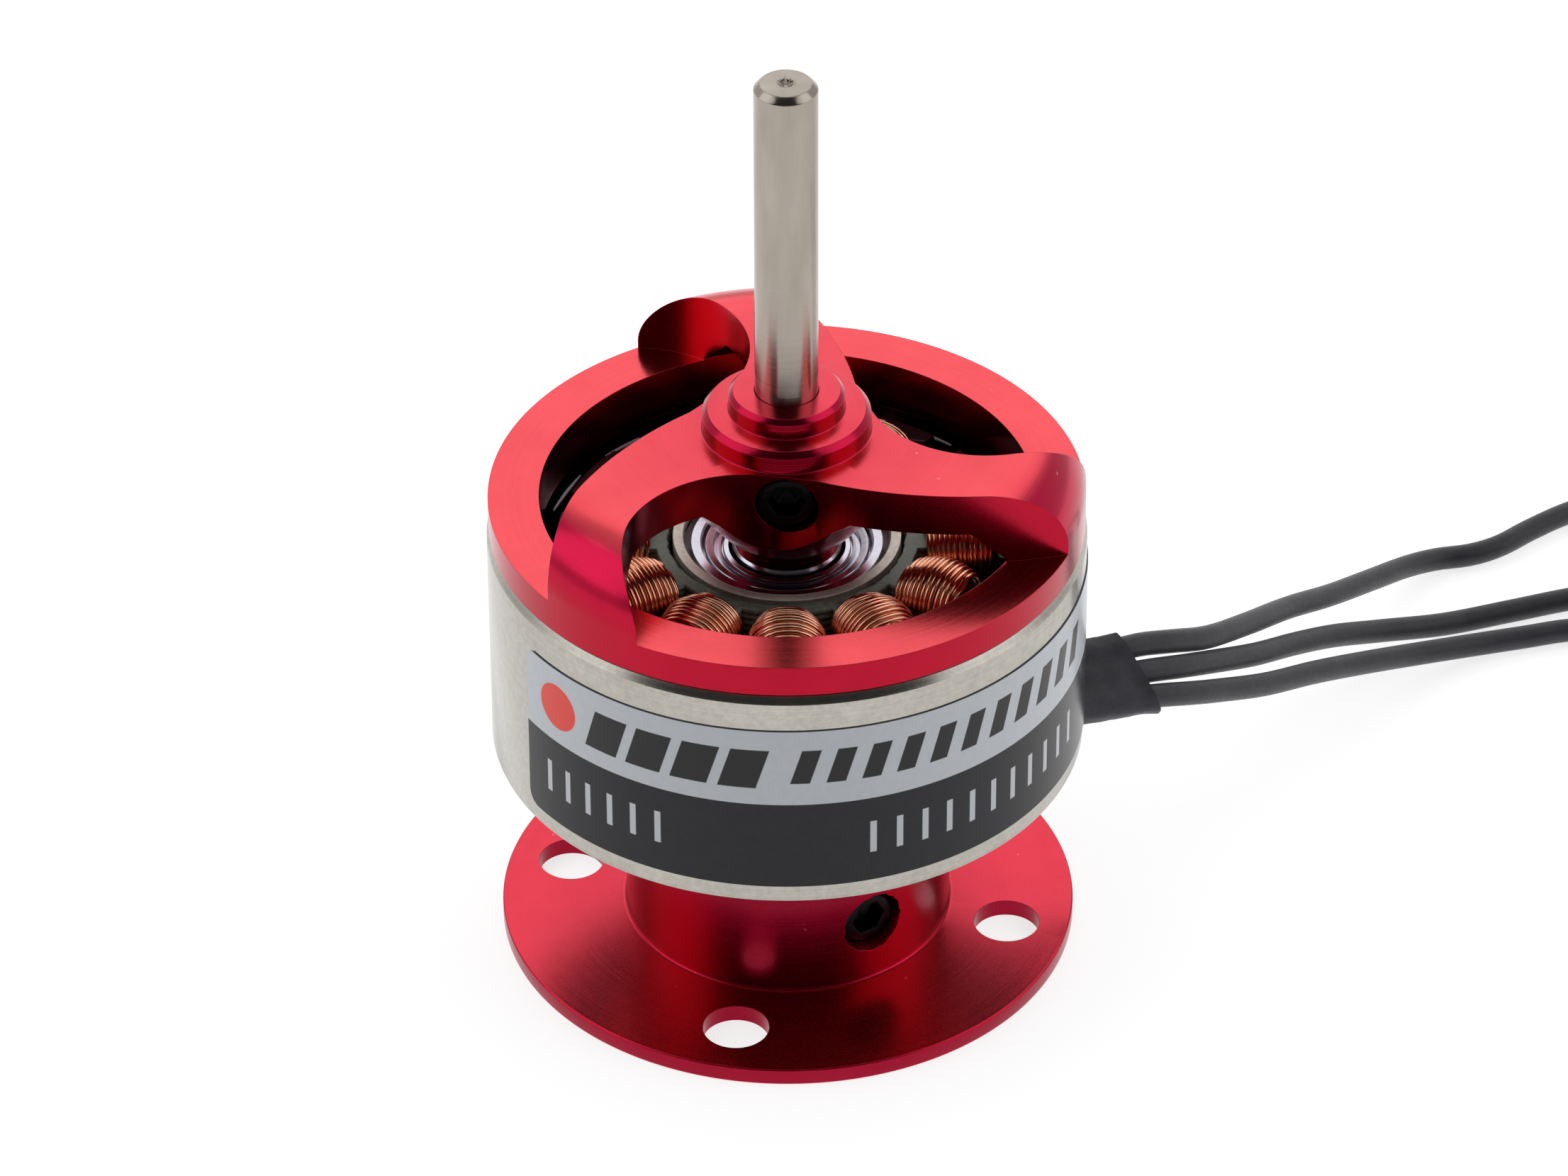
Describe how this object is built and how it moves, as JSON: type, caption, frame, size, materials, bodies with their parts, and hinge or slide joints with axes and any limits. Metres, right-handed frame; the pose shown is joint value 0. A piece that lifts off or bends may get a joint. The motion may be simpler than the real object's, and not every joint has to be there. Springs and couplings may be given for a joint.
{
  "type": "brushless outrunner motor",
  "caption": "Brushless outrunner motor: red three-spoke bell and shaft turning round a fixed wound stator on a round flange mount, with bullet-tipped leads.",
  "frame": {"origin": "centre of the mount flange's underside, on the shaft axis", "axes": "+Z along the shaft, from the flange towards the propeller end; +X towards the side where the leads leave; -Y is the side with the bell's set screw"},
  "size_m": [0.0921, 0.0505, 0.0476],
  "materials": {
    "red_anodised": "bright red anodised, lathe turned",
    "nickel_steel": "nickel plated, satin",
    "label_film": "printed film, plain light band over dark band",
    "magnet_nickel": "nickel plated",
    "shaft_steel": "ground steel",
    "bearing_steel": "ground and polished",
    "bare_aluminium": "bare, as turned",
    "lamination_coat": "dark greenish insulating coat",
    "copper_wire": "enamelled copper, glossy",
    "black_oxide": "black oxide",
    "shrink_sleeve": "black shrink tube",
    "lead_silicone": "black silicone, matte",
    "gold_contact": "gold plated"
  },
  "bodies": {
    "stator": {"mount_flange": "red_anodised", "mount_set_screw": "black_oxide", "bearing_tube": "bare_aluminium", "stator_core": "lamination_coat", "coil_01": "copper_wire", "coil_02": "copper_wire", "coil_03": "copper_wire", "coil_04": "copper_wire", "coil_05": "copper_wire", "coil_06": "copper_wire", "coil_07": "copper_wire", "coil_08": "copper_wire", "coil_09": "copper_wire", "coil_10": "copper_wire", "coil_11": "copper_wire", "coil_12": "copper_wire", "upper_outer_race": "bearing_steel", "upper_shield_top": "bearing_steel", "upper_shield_bottom": "bearing_steel", "lower_outer_race": "bearing_steel", "lower_shield_top": "bearing_steel", "lower_shield_bottom": "bearing_steel", "lead_sleeve": "shrink_sleeve", "lead_a": "lead_silicone", "lead_b": "lead_silicone", "lead_c": "lead_silicone", "connector_a": "gold_contact", "connector_b": "gold_contact", "connector_c": "gold_contact"},
    "rotor": {"bell_cap": "red_anodised", "flux_ring": "nickel_steel", "label": "label_film", "magnet_01": "magnet_nickel", "magnet_02": "magnet_nickel", "magnet_03": "magnet_nickel", "magnet_04": "magnet_nickel", "magnet_05": "magnet_nickel", "magnet_06": "magnet_nickel", "magnet_07": "magnet_nickel", "magnet_08": "magnet_nickel", "magnet_09": "magnet_nickel", "magnet_10": "magnet_nickel", "magnet_11": "magnet_nickel", "magnet_12": "magnet_nickel", "magnet_13": "magnet_nickel", "magnet_14": "magnet_nickel", "shaft": "shaft_steel", "hub_set_screw": "black_oxide", "upper_inner_race": "bearing_steel", "lower_inner_race": "bearing_steel", "retaining_clip": "black_oxide", "shaft_washer": "shaft_steel"},
    "upper_balls": {"upper_ball_set": "bearing_steel"},
    "lower_balls": {"lower_ball_set": "bearing_steel"}
  },
  "joints": [
    {"name": "rotor_spin", "type": "hinge", "parent": "stator", "child": "rotor", "pos_m": [0, 0, 0], "axis": [0, 0, 1], "continuous": true},
    {"name": "upper_balls_roll", "type": "hinge", "parent": "stator", "child": "upper_balls", "pos_m": [0, 0, 0.02], "axis": [0, 0, 1], "continuous": true},
    {"name": "lower_balls_roll", "type": "hinge", "parent": "stator", "child": "lower_balls", "pos_m": [0, 0, 0.0039], "axis": [0, 0, 1], "continuous": true}
  ],
  "couplings": [
    {"joint": "upper_balls_roll", "follows": "rotor_spin", "ratio": 0.38461},
    {"joint": "lower_balls_roll", "follows": "rotor_spin", "ratio": 0.38461}
  ]
}
